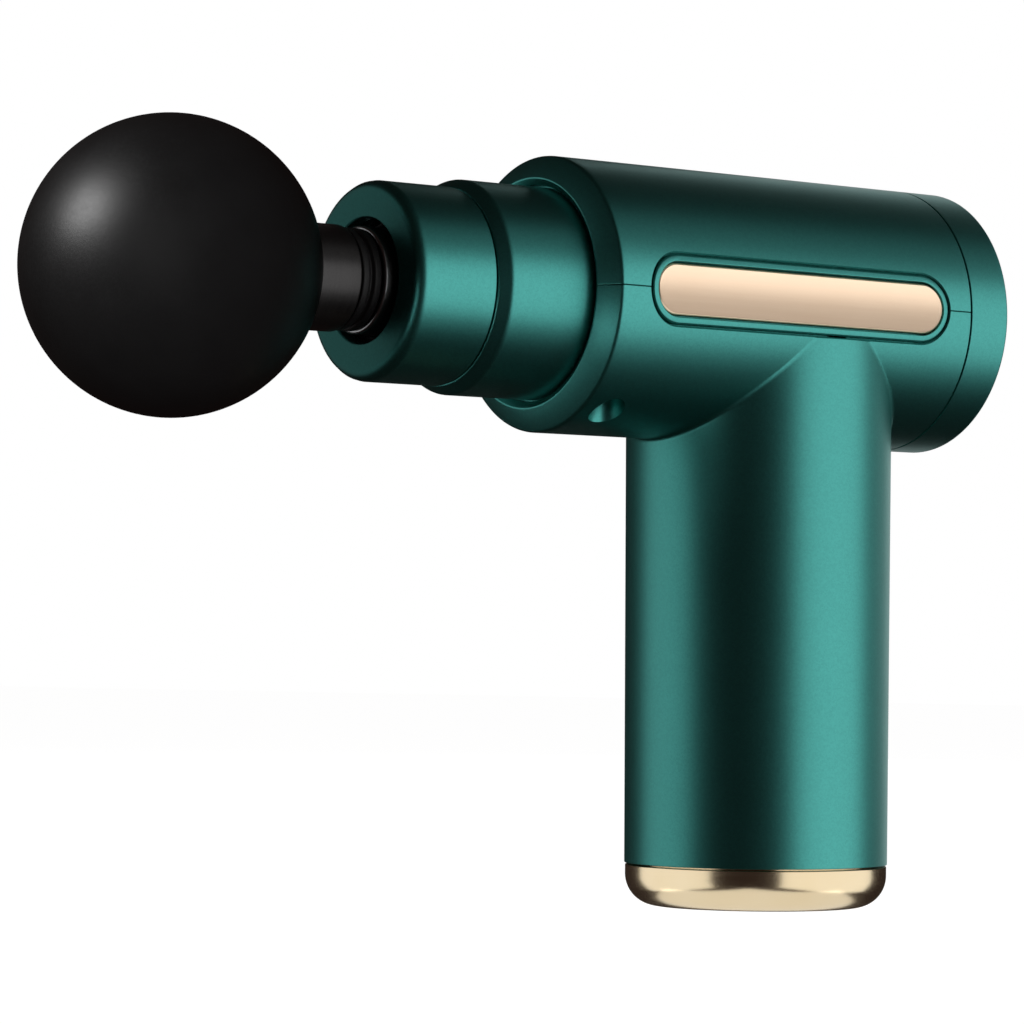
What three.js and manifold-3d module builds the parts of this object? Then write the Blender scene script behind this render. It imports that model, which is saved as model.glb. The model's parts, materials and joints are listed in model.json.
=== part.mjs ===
// A T-shaped handheld massage gun. Millimetres, +Z up.
// The origin is the centre of the flat bottom of the base cap, on the handle's axis.
// The barrel lies along X with the massage head towards -X.
import * as THREE from 'three';
import { mergeVertices } from 'three/addons/utils/BufferGeometryUtils.js';
import Module from 'manifold-3d';

const wasm = await Module();
wasm.setup();

// Driving dimensions
const axisHeight = 102.4;        // barrel axis above the base
const barrelRadius = 23;
const wall = 2.5;                // shell thickness
const gap = 0.3;                 // clearance between separate pieces
const barrelSides = 40;          // facets round the barrel, handle and base
const frontX = -49.8;            // front rim of the barrel
const seamX = 28.3;              // where the rear cap meets the shells
const rearX = 37.1;              // back face of the rear cap
const handleTopRadius = 22.9;
const handleFootRadius = 22.55;
const baseHeight = 7;
const baseFlatRadius = 17;
const collarRadius = 17.64;
const noseRadius = 16.26;
const noseFrontX = -82.56;
const noseBoreRadius = 10.2;
const plungerRadius = 8.7;
const plungerFrontX = -83.9;
const ballRadius = 23.7;
const ballX = -118.3;
const stemRadius = 5.8;
const neckRadius = 8.6;
const neckEndX = -88.1;
const stroke = 7;                // travel of the plunger
const rodLength = 32;            // wrist pin to crank pin
const throwRadius = stroke / 2;  // crank pin offset from the motor axis
const wristX = -throwRadius - rodLength;
const wristPinHole = 1.8;        // radius in the fork and in the rod's small end
const trimCentreX = -9;
const trimLength = 64.2;
const trimHeight = 11.4;
const plateLength = 61.7;
const plateHeight = 8.2;
const shellScrewX = -41.7;
const shellScrewY = 11.5;
const cellRadius = 9.15;
const cellLength = 65;
const cellFootZ = 7.4;
const mountZ = 76.5;             // underside of the motor mount plate
const mountPostRadius = 17.9;    // pitch radius of the four motor mount screws
const usbZ = 21;

// Derived dimensions
const boreRadius = barrelRadius - wall;
const handleBore = 20.3;
const cellTopZ = cellFootZ + cellLength;
const boardBackX = 13.6;
const boardScrewZ = [16, 35];

const paint = (color, roughness, metalness) =>
  new THREE.MeshStandardMaterial({ color, roughness, metalness });
const green = paint(0x1c5f57, 0.38, 0.75);
const gold = paint(0xd9b98c, 0.15, 1);
const blushMetal = paint(0xe6c3a2, 0.28, 1);
const softBlack = paint(0x0b0b0c, 0.62, 0);
const satinBlack = paint(0x1b1b1d, 0.4, 0.1);
const glossBlack = paint(0x060607, 0.08, 0);
const rubber = paint(0x0d0d0e, 0.8, 0);
const steel = paint(0xa9adb2, 0.3, 1);
const alloy = paint(0xb9bcc0, 0.35, 1);
const whitePlastic = paint(0xe8e6df, 0.5, 0);
const darkPlastic = paint(0x2c2e30, 0.55, 0);
const boardGreen = paint(0x14472c, 0.5, 0);
const cellWrap = paint(0x2d6fa8, 0.4, 0.1);
const copper = paint(0xb4683a, 0.35, 1);
const clearLens = paint(0xdfeee8, 0.1, 0);
const redLead = paint(0xa82220, 0.5, 0);
const blackLead = paint(0x141414, 0.5, 0);

// A closed solid from a geometry whose faces point out.
function solid(geometry) {
  const bare = geometry.clone();
  bare.deleteAttribute('normal');
  bare.deleteAttribute('uv');
  const merged = mergeVertices(bare, 1e-4);
  const corners = merged.index.array;
  const kept = [];
  for (let i = 0; i < corners.length; i += 3) {
    const [a, b, c] = [corners[i], corners[i + 1], corners[i + 2]];
    if (a !== b && b !== c && c !== a) kept.push(a, b, c);
  }
  const vertProperties = new Float32Array(merged.attributes.position.array);
  const triVerts = new Uint32Array(kept);
  return new wasm.Manifold(new wasm.Mesh({ numProp: 3, vertProperties, triVerts }));
}

function surface(body) {
  const mesh = body.getMesh();
  const geometry = new THREE.BufferGeometry();
  geometry.setAttribute('position', new THREE.BufferAttribute(new Float32Array(mesh.vertProperties), 3));
  geometry.setIndex(new THREE.BufferAttribute(new Uint32Array(mesh.triVerts), 1));
  const faceted = geometry.toNonIndexed();
  faceted.computeVertexNormals();
  return faceted;
}

const fuse = (...shapes) => surface(shapes.map(solid).reduce((a, b) => a.add(b)));
const cut = (base, ...tools) => surface(tools.map(solid).reduce((a, b) => a.subtract(b), solid(base)));
const common = (a, b) => surface(solid(a).intersect(solid(b)));

// Profile points are [radius, height]; the outline runs anticlockwise so the faces point out.
function turned(points, sides) {
  const area = points.reduce((sum, [r, h], i) => {
    const [r2, h2] = points[(i + 1) % points.length];
    return sum + r * h2 - r2 * h;
  }, 0);
  const ordered = area < 0 ? [...points].reverse() : [...points];
  const start = ordered.findIndex(([r], i) => r === 0 && ordered.at(i - 1)[0] === 0);
  const outline = start < 0
    ? [...ordered, ordered[0]]
    : [...ordered.slice(start), ...ordered.slice(0, start)];
  return new THREE.LatheGeometry(outline.map(([r, h]) => new THREE.Vector2(r, h)), sides);
}

const turnedZ = (points, sides) => turned(points, sides).rotateX(Math.PI / 2);

// Profile points are [x, radius].
const turnedX = (points, sides) => turned(points.map(([x, r]) => [r, x]), sides).rotateZ(-Math.PI / 2);

const discZ = (radius, low, high, sides = 16) =>
  turnedZ([[0, low], [radius, low], [radius, high], [0, high]], sides);

const discX = (radius, low, high, sides = 16) =>
  turnedX([[low, 0], [high, 0], [high, radius], [low, radius]], sides);

const ringZ = (inner, outer, low, high, sides = 24) =>
  turnedZ([[inner, low], [outer, low], [outer, high], [inner, high]], sides);

const ringX = (inner, outer, low, high, sides = 24) =>
  turnedX([[low, inner], [high, inner], [high, outer], [low, outer]], sides);

// A box between two corners.
function block([x0, y0, z0], [x1, y1, z1]) {
  const box = new THREE.BoxGeometry(x1 - x0, y1 - y0, z1 - z0);
  return box.translate((x0 + x1) / 2, (y0 + y1) / 2, (z0 + z1) / 2);
}

// A bar with round ends, its length along X and its thickness along Y.
function oblong(length, height, y0, y1) {
  const r = height / 2;
  const run = length / 2 - r;
  const outline = new THREE.Shape();
  outline.absarc(run, 0, r, -Math.PI / 2, Math.PI / 2, false);
  outline.absarc(-run, 0, r, Math.PI / 2, Math.PI * 1.5, false);
  const bar = new THREE.ExtrudeGeometry(outline, { depth: y1 - y0, bevelEnabled: false, curveSegments: 7 });
  return bar.rotateX(Math.PI / 2).translate(0, y1, 0);
}

// A round lead along a smooth route.
function lead(points, radius) {
  const route = new THREE.CatmullRomCurve3(points.map((p) => new THREE.Vector3(...p)));
  const section = new THREE.Shape().absarc(0, 0, radius, 0, 2 * Math.PI);
  return new THREE.ExtrudeGeometry(section, {
    extrudePath: route, steps: points.length * 2, bevelEnabled: false, curveSegments: 3,
  });
}

// A pan-head screw along +Z: the shank's tip at 0 and the head on top, with a cross recess.
function screw(shankRadius, shankLength, headRadius, headHeight) {
  const top = shankLength + headHeight;
  const body = turnedZ([
    [0, 0], [shankRadius * 0.6, 0], [shankRadius, 0.6], [shankRadius, shankLength],
    [headRadius, shankLength], [headRadius, top - 0.4], [headRadius * 0.75, top], [0, top],
  ], 8);
  const slotHalf = headRadius * 0.55;
  const slotDepth = headHeight * 0.5;
  const slot = [0.22 * headRadius, slotHalf];
  return cut(body,
    block([-slot[0], -slot[1], top - slotDepth], [slot[0], slot[1], top + 1]),
    block([-slot[1], -slot[0], top - slotDepth], [slot[1], slot[0], top + 1]));
}

const product = new THREE.Group();

function place(group, name, geometry, material, position = [0, 0, 0], rotation = [0, 0, 0]) {
  const mesh = new THREE.Mesh(geometry, material);
  mesh.name = name;
  mesh.position.set(...position);
  mesh.rotation.set(...rotation);
  group.add(mesh);
}

// Casing: everything here is measured from the barrel axis

const lipX = frontX + 0.8;             // inner bevel of the front rim
const flangeSlot = [frontX + 1.8, frontX + 3.7];
const bossRadius = 4.3;
const screwHeadSeat = -12;             // height of the screw seat below the axis
const recessFloor = barrelRadius - 1.6;

function barrelBody() {
  const mouth = collarRadius + gap;
  const outside = turnedX([
    [lipX, 0], [lipX, mouth], [frontX, 19.1], [frontX + 2.5, barrelRadius],
    [seamX, barrelRadius], [seamX, 0],
  ], barrelSides);
  const cavity = turnedX([
    [frontX - 5, 0], [frontX - 5, mouth], [flangeSlot[0], mouth], [flangeSlot[0], 19.9],
    [flangeSlot[1], 19.9], [flangeSlot[1], boreRadius], [seamX + 5, boreRadius], [seamX + 5, 0],
  ], barrelSides);
  return { outside, cavity };
}

// Two posts through the front of the barrel that take the screws joining the shells.
function screwPosts() {
  const posts = [1, -1].map((side) =>
    discZ(bossRadius, -22, 22, 14).translate(shellScrewX, side * shellScrewY, 0));
  return common(fuse(...posts), discX(boreRadius + 1, -60, 40, barrelSides));
}

// The oblong pocket on each side that holds the trim ring and its plate.
function trimPocket(side) {
  const outline = oblong(trimLength + 2 * gap, trimHeight + 2 * gap, 10, 30).translate(trimCentreX, 0, 0);
  const pocket = cut(outline, discX(recessFloor, -60, 40, barrelSides));
  return side > 0 ? pocket : pocket.rotateZ(Math.PI).translate(2 * trimCentreX, 0, 0);
}

const rearBossZ = 16.2;
const floorX = rearX - 1.2;             // floor of the panel's recess in the rear cap
const capScrewSeatX = floorX - 1.3;

function upperShell() {
  const { outside, cavity } = barrelBody();
  const rearBoss = block([20, -3, rearBossZ - 2.6], [seamX, 3, 21.5]);
  return cut(fuse(cut(outside, cavity), screwPosts(), rearBoss),
    block([-70, -30, -40], [50, 30, gap / 2]),
    ...[1, -1].map((side) => discZ(1.5, -1, 9, 8).translate(shellScrewX, side * shellScrewY, 0)),
    discX(1.4, 21.5, 30, 8).translate(0, 0, rearBossZ),
    trimPocket(1), trimPocket(-1));
}

function lowerShell() {
  const { outside, cavity } = barrelBody();
  const foot = baseHeight + gap - axisHeight;
  const handle = turnedZ([[0, foot], [handleFootRadius, foot], [handleTopRadius, -8], [0, -8]], barrelSides);
  const handleCavity = discZ(handleBore, foot - 2, 5, barrelSides);
  const shell = cut(fuse(outside, handle), cavity, handleCavity);
  const rearBoss = block([23.5, -3, -21.5], [seamX, 3, -rearBossZ + 2.6]);
  const mountPosts = [0, 1, 2, 3].map((i) => {
    const angle = Math.PI / 4 + i * Math.PI / 2;
    const post = ringZ(1.1, 2.8, mountZ - gap - 10 - axisHeight, mountZ - gap - axisHeight, 10);
    return post.translate(mountPostRadius * Math.cos(angle), mountPostRadius * Math.sin(angle), 0);
  });
  const screwWays = [1, -1].flatMap((side) => [
    discZ(3, -30, screwHeadSeat, 14), discZ(1.6, -30, 2, 8),
  ].map((way) => way.translate(shellScrewX, side * shellScrewY, 0)));
  return cut(fuse(shell, screwPosts(), rearBoss, ...mountPosts),
    block([-70, -30, -gap / 2], [50, 30, 40]),
    ...screwWays,
    discX(1.4, 24.5, 30, 8).translate(0, 0, -rearBossZ),
    usbCutout().translate(0, 0, usbZ - axisHeight),
    trimPocket(1), trimPocket(-1));
}

// Stepped opening in the back of the handle for the charging inlet.
function usbCutout() {
  const slot = oblong(9.8, 4, 0, 12).rotateZ(Math.PI / 2).translate(30, 0, 0);
  const pocket = oblong(12.4, 6.4, 0, 10).rotateZ(Math.PI / 2).translate(31.7, 0, 0);
  return fuse(slot, pocket);
}

// A band of the barrel's skin inside an oblong outline.
function skinOblong(length, height, low, high) {
  const bar = oblong(length, height, 10, 30).translate(trimCentreX, 0, 0);
  return common(bar, ringX(low, high, -60, 40, barrelSides));
}

function sideTrim() {
  const ring = skinOblong(trimLength, trimHeight, recessFloor + gap, barrelRadius);
  const window = oblong(plateLength + 2 * gap, plateHeight + 2 * gap, 8, 32);
  return cut(ring, window.translate(trimCentreX, 0, 0));
}

const accentPlate = () => skinOblong(plateLength, plateHeight, recessFloor + gap, barrelRadius - 0.1);

function rearCap() {
  const cap = turnedX([
    [seamX + gap, boreRadius], [seamX + gap, barrelRadius], [rearX - 0.5, barrelRadius],
    [rearX, barrelRadius - 0.5], [rearX, 18.5], [floorX, 18.5], [floorX, 9], [floorX - 2, 9],
    [floorX - 2, boreRadius],
  ], barrelSides);
  const posts = [1, -1].map((side) => discX(2.3, 31, floorX - 1, 10).translate(0, side * 12, 0));
  const pilots = [1, -1].map((side) => discX(1.1, 30, floorX - 1.2, 8).translate(0, side * 12, 0));
  const screwWays = [1, -1].flatMap((side) => [discX(1.5, 30, 40, 8), discX(2.4, capScrewSeatX, 40, 12)]
    .map((way) => way.translate(0, 0, side * rearBossZ)));
  const lensWays = lensPlaces().map(([y, z]) => discX(1.1, 30, 40, 8).translate(0, y, z));
  return cut(fuse(cap, ...posts), ...pilots, ...screwWays, ...lensWays);
}

// Five charge lights on an arc below the power button.
function lensPlaces() {
  return [-2, -1, 0, 1, 2].map((i) => {
    const angle = THREE.MathUtils.degToRad(-90 + 20 * i);
    return [12 * Math.cos(angle), 12 * Math.sin(angle)];
  });
}

const panelX = [rearX - 0.9, rearX - 0.2];

function rearPanel() {
  const disc = ringX(6.3, 18.2, panelX[0], panelX[1], 32);
  return cut(disc, ...lensPlaces().map(([y, z]) => discX(1.1, 30, 40, 8).translate(0, y, z)));
}

function powerButton() {
  return turnedX([
    [33.2, 0], [33.2, 2.5], [34, 2.5], [34, 6], [rearX + 0.1, 6], [rearX + 0.6, 5.3], [rearX + 0.35, 0],
  ], 28);
}

function buttonBoard() {
  const board = discX(14, 28.9, 30.5, 24);
  return cut(board, ...[1, -1].map((side) => discX(1.1, 27, 32, 10).translate(0, side * 12, 0)));
}

const tactileSwitch = () => fuse(block([30.8, -3, -3], [32, 3, 3]), discX(1.7, 31.9, 32.5, 16));

function baseCap() {
  const round = 5.4;
  const profile = [[0, 0], [baseFlatRadius, 0]];
  for (let i = 1; i <= 4; i++) {
    const angle = (i / 4) * Math.PI / 2;
    profile.push([baseFlatRadius + round * Math.sin(angle), round * (1 - Math.cos(angle))]);
  }
  profile.push([baseFlatRadius + round, baseHeight], [20, baseHeight], [20, 11], [18.9, 11],
    [18.9, baseHeight], [18.2, baseHeight - 0.7], [18.2, 2.5], [0, 2.5]);
  return turnedZ(profile, barrelSides);
}

// Nose and its running gear

const collarFrontX = -80;
const ringSlot = [-79.4, -78.2];   // groove for the retaining ring

function collar() {
  const back = flangeSlot[1] - gap;
  return turnedX([
    [collarFrontX, 12.9], [collarFrontX, 14.3], [-67.2, 14.3], [-67.2, noseRadius], [-65.2, collarRadius],
    [flangeSlot[0] + gap, collarRadius], [flangeSlot[0] + gap, 19.6], [back, 19.6], [back, 16.2],
    [-64, 16.2], [-64, 14.3], [back, 14.3], [back, 10], [back - 1.8, 10], [back - 1.8, 12.9],
    [ringSlot[1], 12.9], [ringSlot[1], 13.6], [ringSlot[0], 13.6], [ringSlot[0], 12.9],
  ], 32);
}

function noseCap() {
  const round = 1.8;
  const profile = [[-67.5, 14.6], [-67.5, noseRadius]];
  for (let i = 0; i <= 3; i++) {
    const angle = (i / 3) * Math.PI / 2;
    profile.push([noseFrontX + round * (1 - Math.sin(angle)), noseRadius - round * (1 - Math.cos(angle))]);
  }
  profile.push([noseFrontX, noseBoreRadius + 0.3], [noseFrontX + 0.3, noseBoreRadius],
    [-80.3, noseBoreRadius], [-80.3, 14.6]);
  return turnedX(profile, 32);
}

// An open spring ring with two lugs beside its gap, lying across the barrel axis.
function retainingRing() {
  const half = THREE.MathUtils.degToRad(14);
  const outline = new THREE.Shape();
  outline.absarc(0, 0, 13.3, half, 2 * Math.PI - half, false);
  outline.absarc(0, 0, 10.6, 2 * Math.PI - half, half, true);
  const band = new THREE.ExtrudeGeometry(outline, { depth: 0.6, bevelEnabled: false, curveSegments: 16 });
  const lugs = [1, -1].map((side) => {
    const angle = side * (half + 0.09);
    return discZ(1.3, 0, 0.6, 10).translate(10.9 * Math.cos(angle), 10.9 * Math.sin(angle), 0);
  });
  return fuse(band, ...lugs).rotateY(-Math.PI / 2).translate(-78.5, 0, 0);
}

const dustSeal = () => turnedX([
  [-77.9, 9.6], [-77.9, 12.6], [-76.3, 12.6], [-76.3, 8.95], [-76.9, 8.95],
], 24);

const guideSleeve = () => ringX(8.95, 12.6, -76, flangeSlot[1] - gap - 2.1, 28);

// A tube that takes the head's stem, and behind it a fork for the rod's small end.
function plunger() {
  const tubeEndX = -53.5;
  const tube = turnedX([
    [plungerFrontX, 6.5], [plungerFrontX, plungerRadius - 0.5], [plungerFrontX + 0.5, plungerRadius],
    [tubeEndX, plungerRadius], [tubeEndX, 0], [tubeEndX - 2, 0], [tubeEndX - 2, 7], [-65, 7], [-65, 0],
    [-66.5, 0],
    [-67, 6.1], [plungerFrontX + 0.4, 6.1],
  ], 24);
  const armHalfWidth = 6;
  const armHalfHeight = 7;
  const slotHalfHeight = 3.3;
  const arms = block([tubeEndX - 1, -armHalfWidth, -armHalfHeight], [wristX + 5, armHalfWidth, armHalfHeight]);
  const fork = common(arms, discX(plungerRadius - 0.2, -60, -20, 24));
  return cut(fuse(tube, fork),
    block([wristX - 5.5, -10, -slotHalfHeight], [-20, 10, slotHalfHeight]),
    discZ(wristPinHole, -10, 10, 16).translate(wristX, 0, 0),
    block([tubeEndX + 2, -3, -10], [wristX - 8, 3, 10]),
    block([-64, -2, -20], [tubeEndX - 3, 2, 0]));
}

function connectingRod() {
  const half = 3;
  const small = discZ(4.2, -half, half, 16).translate(wristX, 0, 0);
  const big = discZ(8.6, -half, half, 24).translate(-throwRadius, 0, 0);
  const beam = block([wristX, -2.6, -half], [-throwRadius, 2.6, half]);
  const flute = { from: wristX + 6, to: -14.5, halfWidth: 1.2, low: 1.6, high: 4 };
  const flutes = [[flute.low, flute.high], [-flute.high, -flute.low]].map(([low, high]) =>
    block([flute.from, -flute.halfWidth, low], [flute.to, flute.halfWidth, high]));
  return cut(fuse(small, big, beam), ...flutes,
    discZ(wristPinHole, -5, 5, 10).translate(wristX, 0, 0),
    discZ(6.8, -5, 5, 20).translate(-throwRadius, 0, 0));
}

// Motor, heights from the base

function crankWheel() {
  const low = 91;
  const high = 95.8;
  const heavy = new THREE.Shape();
  heavy.absarc(0, 0, 15.5, -1.35, 1.35, false);
  heavy.absarc(0, 0, 9, 1.35, 2 * Math.PI - 1.35, false);
  const wheel = new THREE.ExtrudeGeometry(heavy, {
    depth: high - low, bevelEnabled: false, curveSegments: 10,
  });
  return cut(wheel.translate(0, 0, low), discZ(2.2, low - 1, high + 1, 16));
}

const motorShaft = () => turnedZ([[0, 77], [1.9, 77], [1.9, 95.2], [1.5, 95.6], [0, 95.6]], 12);

function rotorCan() {
  const can = turnedZ([
    [2.2, 88], [15.2, 88], [15.2, 80], [17.2, 80], [17.2, 89.8], [16.6, 90.4], [2.2, 90.4],
  ], 32);
  const vents = [0, 1, 2, 3, 4, 5].map((i) =>
    discZ(2.2, 86, 91, 8).translate(9 * Math.cos(i * Math.PI / 3), 9 * Math.sin(i * Math.PI / 3), 0));
  return cut(can, ...vents);
}

const magnetRing = () => ringZ(13.8, 14.9, 80.4, 87.6, 32);

function stator() {
  const core = ringZ(5.2, 13.4, 81, 87, 36);
  const slots = [];
  for (let i = 0; i < 9; i++) {
    const slot = block([8.5, -0.8, 80], [15, 0.8, 88]);
    slots.push(slot.rotateZ(i * 2 * Math.PI / 9));
  }
  return cut(core, ...slots);
}

function motorMount() {
  const plate = discZ(19.8, mountZ, mountZ + 1.8, 32);
  const tube = discZ(4.9, mountZ, 87, 24);
  const holes = [0, 1, 2, 3].map((i) => {
    const angle = Math.PI / 4 + i * Math.PI / 2;
    const [x, y] = [mountPostRadius * Math.cos(angle), mountPostRadius * Math.sin(angle)];
    return discZ(1.4, 70, 80, 10).translate(x, y, 0);
  });
  return cut(fuse(plate, tube), discZ(2.3, 70, 90, 20), block([12, -4.5, 70], [24, 4.5, 80]), ...holes);
}

// Power and control in the handle

function batteryCell() {
  const top = cellTopZ;
  return turnedZ([
    [0, cellFootZ], [cellRadius - 0.6, cellFootZ], [cellRadius, cellFootZ + 0.6], [cellRadius, top - 1.6],
    [cellRadius - 0.6, top - 1], [3.6, top - 1], [3.4, top], [0, top],
  ], 16);
}

function batteryHolder() {
  const frame = fuse(
    block([-9.2, -13.4, 4.6], [11.2, 13.4, cellFootZ - gap]),
    block([9.5, -9, 5], [11.2, 9, cellTopZ + 1.8]),
    block([9, -9, cellTopZ + 0.4], [11, 9, cellTopZ + 1.8]),
    block([-9.2, -15.8, cellTopZ + 0.4], [9.4, 15.8, cellTopZ + 1.8]));
  return cut(frame, ...boardScrewZ.map((z) => discX(1, 8, 13, 8).translate(0, 0, z)));
}

function controlBoard() {
  const board = block([12, -12, 12], [boardBackX, 12, 64]);
  const chips = [
    [[-3.5, 38], [3.5, 45], 1], [[-9, 28], [-5, 33], 1.5], [[4, 29], [9, 32.5], 1],
    [[-9, 50], [-6.4, 56], 1.2], [[-4, 50], [-1.4, 56], 1.2],
    [[1, 50], [3.6, 56], 1.2], [[6, 50], [8.6, 56], 1.2],
  ].map(([[y0, z0], [y1, z1], height]) => block([boardBackX - 0.2, y0, z0], [boardBackX + height, y1, z1]));
  return cut(fuse(board, ...chips),
    ...boardScrewZ.map((z) => discX(1.1, 10, 16, 8).translate(0, 0, z)));
}

function usbPort() {
  const shell = oblong(9, 3.2, 0, 7.4).rotateZ(Math.PI / 2).translate(21.3, 0, usbZ);
  const mouth = oblong(8.3, 2.5, 0, 6).rotateZ(Math.PI / 2).translate(22.3, 0, usbZ);
  const tongue = block([15, -3.3, usbZ - 0.35], [20.8, 3.3, usbZ + 0.35]);
  return fuse(cut(shell, mouth), tongue);
}

// Massage head

function massageBall() {
  const socketX = ballX + 20.6;
  const outer = new THREE.SphereGeometry(ballRadius, 28, 16).rotateZ(Math.PI / 2).translate(ballX, 0, 0);
  const skin = 2.2;
  const inner = new THREE.SphereGeometry(ballRadius - skin, 16, 10);
  inner.rotateZ(Math.PI / 2).translate(ballX, 0, 0);
  return cut(outer, inner, discX(neckRadius + gap, socketX, -80, 32), discX(6.3, socketX - 5, -80, 24));
}

function headStem() {
  const socketX = ballX + 20.6 + gap;
  return turnedX([
    [socketX - 4, 0], [socketX - 4, 6], [socketX, 6], [socketX, neckRadius],
    [neckEndX - 0.4, neckRadius], [neckEndX, neckRadius - 0.4], [neckEndX, stemRadius],
    [-80.9, stemRadius], [-80.9, 4.7], [-79.1, 4.7], [-79.1, stemRadius],
    [-70, stemRadius], [-69, 4.8], [-69, 3], [-95, 3],
    [-95, 0],
  ], 24);
}

function gripRing() {
  const [centre, half] = [-80, 0.6];   // rounded rubber section in the stem's groove
  const points = [];
  for (let i = 0; i < 6; i++) {
    const angle = (i + 0.5) * Math.PI / 3;
    points.push([centre + half * Math.cos(angle), 5.35 + 0.5 * Math.sin(angle)]);
  }
  return turnedX(points, 16);
}

const bufferRing = () => turnedX([
  [-87.8, 6.2], [-87.8, 8.3], [-86.4, 8.3], [-86, 7.8], [-85.6, 8.3], [-84.2, 8.3], [-84.2, 6.2],
], 24);

// Assembly

const casing = new THREE.Group();
casing.position.z = axisHeight;
place(casing, 'upper_shell', upperShell(), green);
place(casing, 'lower_shell', lowerShell(), green);
for (const [sideName, turn] of [['left', Math.PI], ['right', 0]]) {
  const shift = turn === 0 ? 0 : 2 * trimCentreX;
  place(casing, `side_trim_${sideName}`, sideTrim(), green, [shift, 0, 0], [0, 0, turn]);
  place(casing, `accent_plate_${sideName}`, accentPlate(), blushMetal, [shift, 0, 0], [0, 0, turn]);
}
for (const [i, side] of [1, -1].entries()) {
  const seat = screwHeadSeat - gap;
  place(casing, `shell_screw_${i + 1}`, screw(1.25, 19.5, 2.6, 1.8), steel,
    [shellScrewX, side * shellScrewY, seat + 19.5], [Math.PI, 0, 0]);
  place(casing, `rear_cap_screw_${i + 1}`, screw(1.1, 9.5, 2.1, 1), steel,
    [capScrewSeatX + gap - 9.5, 0, side * rearBossZ], [0, Math.PI / 2, 0]);
  place(casing, `board_screw_${i + 1}`, screw(0.8, 4.6, 1.8, 1.1), steel,
    [33.2, side * 12, 0], [0, -Math.PI / 2, 0]);
}
place(casing, 'rear_cap', rearCap(), green);
place(casing, 'rear_panel', rearPanel(), glossBlack);
lensPlaces().forEach(([y, z], i) => {
  place(casing, `led_lens_${i + 1}`, discX(0.8, 31, panelX[1], 8), clearLens, [0, y, z]);
});
place(casing, 'power_button', powerButton(), satinBlack);
place(casing, 'button_board', buttonBoard(), boardGreen);
place(casing, 'tactile_switch', tactileSwitch(), steel);
product.add(casing);

const nose = new THREE.Group();
nose.position.z = axisHeight;
place(nose, 'collar', collar(), green);
place(nose, 'nose_cap', noseCap(), green);
place(nose, 'retaining_ring', retainingRing(), steel);
place(nose, 'dust_seal', dustSeal(), rubber);
place(nose, 'guide_sleeve', guideSleeve(), whitePlastic);
place(nose, 'plunger', plunger(), alloy);
place(nose, 'wrist_pin', discZ(1.5, -6.4, 6.4, 20), steel, [wristX, 0, 0]);
place(nose, 'connecting_rod', connectingRod(), darkPlastic);
place(nose, 'big_end_bearing', ringZ(3.3, 6.5, -2.5, 2.5, 24), steel, [-throwRadius, 0, 0]);
place(nose, 'crank_pin', turnedZ([
  [0, -6.3], [4.6, -6.3], [4.6, -2.9], [3, -2.9], [3, 2.6], [0, 2.6],
], 16), steel, [-throwRadius, 0, 0]);
product.add(nose);

const head = new THREE.Group();
head.position.z = axisHeight;
place(head, 'massage_ball', massageBall(), softBlack);
place(head, 'head_stem', headStem(), satinBlack);
place(head, 'grip_ring', gripRing(), rubber);
place(head, 'buffer_ring', bufferRing(), rubber);
product.add(head);

const drive = new THREE.Group();
place(drive, 'crank_wheel', crankWheel(), steel);
place(drive, 'motor_shaft', motorShaft(), steel);
place(drive, 'rotor_can', rotorCan(), steel);
place(drive, 'magnet_ring', magnetRing(), darkPlastic);
place(drive, 'stator', stator(), copper);
place(drive, 'motor_mount', motorMount(), alloy);
for (let i = 0; i < 4; i++) {
  const angle = Math.PI / 4 + i * Math.PI / 2;
  place(drive, `motor_screw_${i + 1}`, screw(0.8, 7, 1.7, 1.2), steel,
    [mountPostRadius * Math.cos(angle), mountPostRadius * Math.sin(angle), mountZ + 1.8 + gap - 7]);
}
for (const [i, y] of [-3, 0, 3].entries()) {
  place(drive, `motor_lead_${i + 1}`, lead([
    [8.5, y, 79.1], [12, y, 79.1], [14.5, y, 78], [15.6, y, 74], [15.4, y, 68], [14.3, y, 61.5],
  ], 0.42), blackLead);
}
product.add(drive);

const handle = new THREE.Group();
place(handle, 'base_cap', baseCap(), gold);
for (const [i, side] of [1, -1].entries()) {
  place(handle, `battery_cell_${i + 1}`, batteryCell(), cellWrap, [0, side * 9.25, 0]);
  place(handle, `control_screw_${i + 1}`, screw(0.7, 4, 1.6, 0.9), steel,
    [9.9, 0, boardScrewZ[i]], [0, Math.PI / 2, 0]);
}
place(handle, 'battery_holder', batteryHolder(), whitePlastic);
place(handle, 'control_board', controlBoard(), boardGreen);
place(handle, 'usb_port', usbPort(), steel);
const batteryLeads = [['battery_lead_red', 6.5, redLead], ['battery_lead_black', -6.5, blackLead]];
for (const [name, y, material] of batteryLeads) {
  place(handle, name, lead([
    [4, y, 75.1], [8, y, 75.1], [12.2, y, 74.6], [14.2, y, 71], [14.6, y, 66], [14.2, y, 58.6],
  ], 0.45), material);
}
product.add(handle);

export default product;
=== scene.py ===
import json
import math
import bpy
import bmesh
from mathutils import Matrix, Vector

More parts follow.
